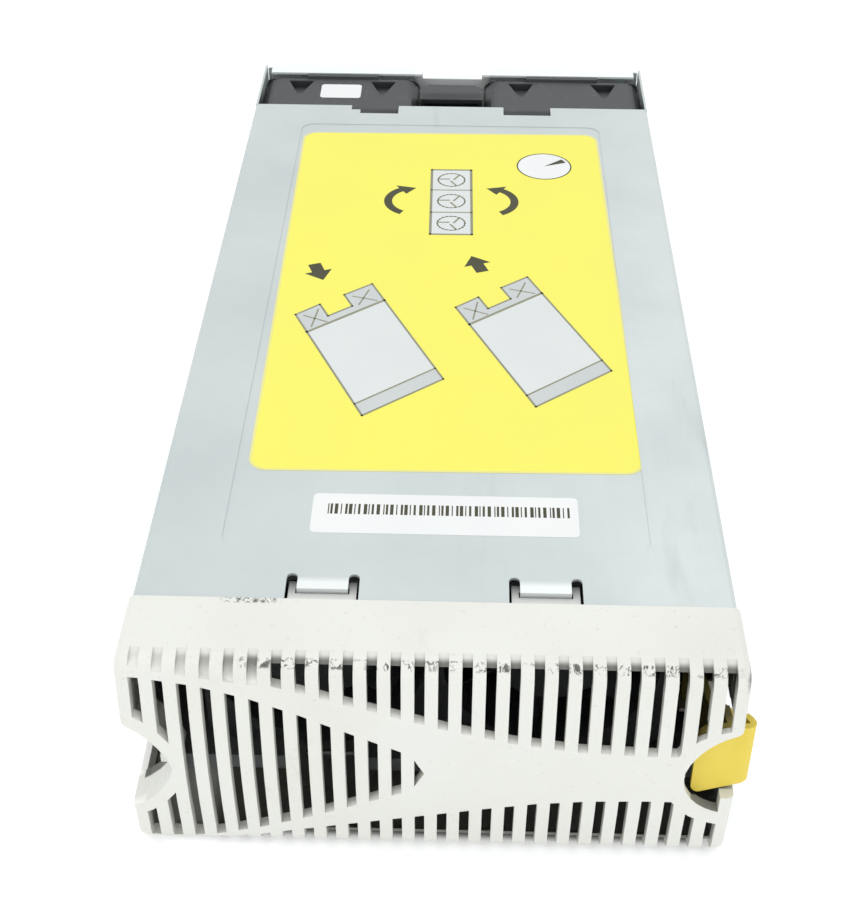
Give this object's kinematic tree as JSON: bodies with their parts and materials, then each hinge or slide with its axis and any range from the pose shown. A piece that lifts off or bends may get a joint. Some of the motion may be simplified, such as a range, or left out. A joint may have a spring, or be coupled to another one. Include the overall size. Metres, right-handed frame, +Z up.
{
  "type": "switch fan tray",
  "caption": "Slide-in fan tray with a slotted plastic bezel, a sprung release latch, axial fans front and rear, and a blind-mate connector.",
  "frame": {"origin": "middle of the flat underside of the pan, half way along the whole tray", "axes": "+Y from the bezel towards the rear connector, +Z up through the cover, +X towards the latch"},
  "size_m": [0.1773, 0.3867, 0.0746],
  "materials": {
    "galvanised_sheet": "dull zinc-coated sheet",
    "cream_plastic": "fine moulded texture, scuffed",
    "yellow_plastic": "satin moulded",
    "black_plastic": "glass-filled, satin",
    "zinc_steel": "bright zinc",
    "black_sleeve": "woven sleeve",
    "white_nylon": "satin moulded"
  },
  "bodies": {
    "tray": {"bezel": "cream_plastic", "blind_mate_plug": "black_plastic", "chassis_pan": "galvanised_sheet", "connector_housing": "black_plastic", "cover_screw_left_1": "zinc_steel", "cover_screw_left_2": "zinc_steel", "cover_screw_right_1": "zinc_steel", "cover_screw_right_2": "zinc_steel", "front_fan_bracket": "galvanised_sheet", "front_left_fan_frame": "black_plastic", "front_left_fan_lead": "black_sleeve", "front_left_fan_screw_lower": "zinc_steel", "front_left_fan_screw_upper": "zinc_steel", "front_left_lead_plug": "white_nylon", "front_right_fan_frame": "black_plastic", "front_right_fan_lead": "black_sleeve", "front_right_fan_screw_lower": "zinc_steel", "front_right_fan_screw_upper": "zinc_steel", "front_right_lead_plug": "white_nylon", "latch_bracket": "zinc_steel", "latch_pin": "zinc_steel", "latch_spring": "zinc_steel", "lead_clip_1": "white_nylon", "lead_clip_2": "white_nylon", "lead_clip_3": "white_nylon", "left_finger_guard": "black_plastic", "left_guard_screw_1": "zinc_steel", "left_guard_screw_2": "zinc_steel", "left_guard_screw_3": "zinc_steel", "left_guard_screw_4": "zinc_steel", "rear_fan_bracket": "galvanised_sheet", "rear_left_fan_frame": "black_plastic", "rear_left_fan_lead": "black_sleeve", "rear_left_fan_screw_lower": "zinc_steel", "rear_left_fan_screw_upper": "zinc_steel", "rear_left_lead_plug": "white_nylon", "rear_panel": "galvanised_sheet", "rear_panel_screw_left_1": "zinc_steel", "rear_panel_screw_left_2": "zinc_steel", "rear_panel_screw_right_1": "zinc_steel", "rear_panel_screw_right_2": "zinc_steel", "rear_right_fan_frame": "black_plastic", "rear_right_fan_lead": "black_sleeve", "rear_right_fan_screw_lower": "zinc_steel", "rear_right_fan_screw_upper": "zinc_steel", "rear_right_lead_plug": "white_nylon", "right_finger_guard": "black_plastic", "right_guard_screw_1": "zinc_steel", "right_guard_screw_2": "zinc_steel", "right_guard_screw_3": "zinc_steel", "right_guard_screw_4": "zinc_steel", "top_cover": "galvanised_sheet"},
    "latch": {"latch_lever": "yellow_plastic"},
    "front_left_rotor": {"front_left_fan_rotor": "black_plastic"},
    "front_right_rotor": {"front_right_fan_rotor": "black_plastic"},
    "rear_left_rotor": {"rear_left_fan_rotor": "black_plastic"},
    "rear_right_rotor": {"rear_right_fan_rotor": "black_plastic"}
  },
  "joints": [
    {"name": "latch_press", "type": "hinge", "parent": "tray", "child": "latch", "pos_m": [0.0785, -0.15365, 0.0365], "axis": [0, 0, 1], "range_deg": [-6, 0], "stiffness_Nm_per_rad": 0.08, "springref_deg": 6.88, "deforming": ["latch_spring"]},
    {"name": "front_left_fan_spin", "type": "hinge", "parent": "tray", "child": "front_left_rotor", "pos_m": [-0.03575, -0.13415, 0.0365], "axis": [0, 1, 0], "continuous": true},
    {"name": "front_right_fan_spin", "type": "hinge", "parent": "tray", "child": "front_right_rotor", "pos_m": [0.03575, -0.13415, 0.0365], "axis": [0, 1, 0], "continuous": true},
    {"name": "rear_left_fan_spin", "type": "hinge", "parent": "tray", "child": "rear_left_rotor", "pos_m": [-0.0495, 0.16085, 0.0365], "axis": [0, 1, 0], "continuous": true},
    {"name": "rear_right_fan_spin", "type": "hinge", "parent": "tray", "child": "rear_right_rotor", "pos_m": [0.0495, 0.16085, 0.0365], "axis": [0, 1, 0], "continuous": true}
  ]
}
